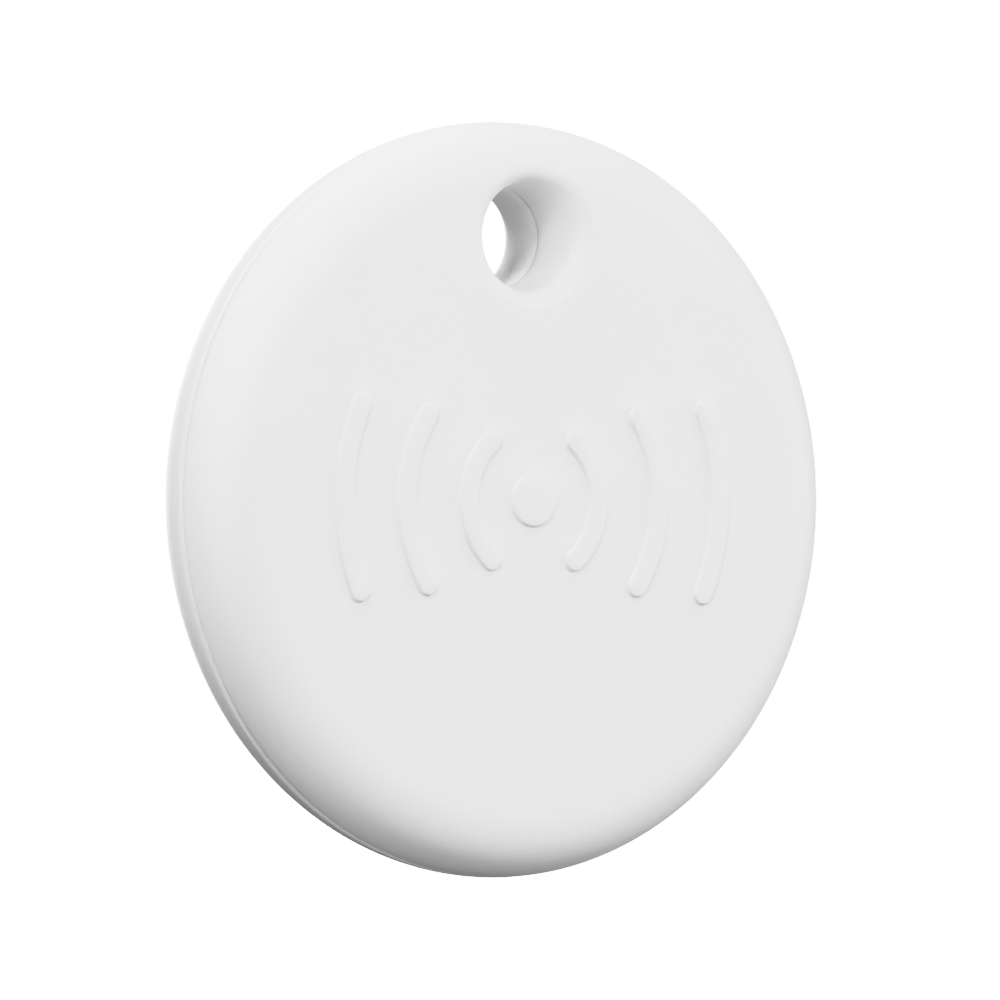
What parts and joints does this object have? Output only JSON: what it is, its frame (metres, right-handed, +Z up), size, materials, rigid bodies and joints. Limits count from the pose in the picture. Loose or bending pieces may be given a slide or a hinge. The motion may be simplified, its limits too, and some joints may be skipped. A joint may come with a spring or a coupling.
{
  "type": "bluetooth tracker tag",
  "caption": "Round white Bluetooth tracker tag with a softly rounded rim, a flared key ring hole near the edge, a raised locate mark and a replaceable coin cell.",
  "frame": {"origin": "on the axis of the key ring hole, at the middle of its straight wall", "axes": "+X to the right as the front face is seen, +Y from the front face to the back face, +Z up from the disc's centre towards the key ring hole"},
  "size_m": [0.0388, 0.0076, 0.0388],
  "materials": {
    "white_shell": "matt white moulded plastic with a fine bead-blasted texture",
    "seal_silicone": "soft dark grey silicone",
    "chassis_plastic": "plain pale grey moulded plastic",
    "board_laminate": "green solder mask over glass laminate",
    "switch_plastic": "black moulded switch housing",
    "spring_steel": "thin bright spring steel",
    "plunger_plastic": "orange moulded plunger",
    "pad_silicone": "translucent grey silicone pad",
    "piezo_brass": "rolled brass sheet",
    "piezo_white_ceramic": "silvered piezo ceramic",
    "adhesive_film": "thin adhesive film",
    "gold_contact": "gold plated copper alloy",
    "cell_steel": "satin stainless steel",
    "cap_steel": "satin stainless steel",
    "cell_gasket": "moulded sealing gasket",
    "cathode_pellet": "pressed dark powder pellet, about as dense as aluminium",
    "separator_paper": "white non-woven sheet",
    "lithium_disc": "soft grey metal disc, lighter than plastic",
    "pad_foam": "closed cell foam",
    "chip_epoxy": "black moulded epoxy",
    "crystal_metal": "bright metal can",
    "antenna_ceramic": "pale blue ceramic with silvered ends",
    "inductor_ferrite": "dark ferrite block",
    "capacitor_ceramic": "tan ceramic block with silvered ends",
    "resistor_black": "black film on a ceramic block"
  },
  "bodies": {
    "tag": {"front_shell": "white_shell", "seal_ring": "seal_silicone", "chassis": "chassis_plastic", "circuit_board": "board_laminate", "switch_base": "switch_plastic", "switch_dome": "spring_steel", "piezo_plate": "piezo_brass", "piezo_ceramic": "piezo_white_ceramic", "piezo_adhesive_ring": "adhesive_film", "piezo_contacts": "gold_contact", "battery_positive_clip": "gold_contact", "battery_negative_spring": "gold_contact", "bluetooth_chip": "chip_epoxy", "piezo_driver_chip": "chip_epoxy", "radio_crystal": "crystal_metal", "clock_crystal": "crystal_metal", "chip_antenna": "antenna_ceramic", "power_inductor": "inductor_ferrite", "chip_capacitors": "capacitor_ceramic", "chip_resistors": "resistor_black"},
    "rear_cover": {"rear_cover": "white_shell", "battery_foam_pad": "pad_foam", "hole_seal": "seal_silicone"},
    "coin_cell": {"battery_can": "cell_steel", "battery_cap": "cap_steel", "battery_gasket": "cell_gasket", "battery_cathode": "cathode_pellet", "battery_separator": "separator_paper", "battery_anode": "lithium_disc"},
    "button": {"switch_plunger": "plunger_plastic", "press_pad": "pad_silicone"}
  },
  "joints": [
    {"name": "cover_off", "type": "slide", "parent": "tag", "child": "rear_cover", "axis": [0, 1, 0], "range_m": [0, 0.012]},
    {"name": "cell_out", "type": "slide", "parent": "tag", "child": "coin_cell", "axis": [0, 1, 0], "range_m": [0, 0.0054]},
    {"name": "button_press", "type": "slide", "parent": "tag", "child": "button", "axis": [0, 1, 0], "range_m": [0, 0.00016], "stiffness_N_per_m": 8000, "deforming": ["switch_dome"]}
  ],
  "couplings": [
    {"joint": "cell_out", "follows": "cover_off", "ratio": 0.45}
  ]
}
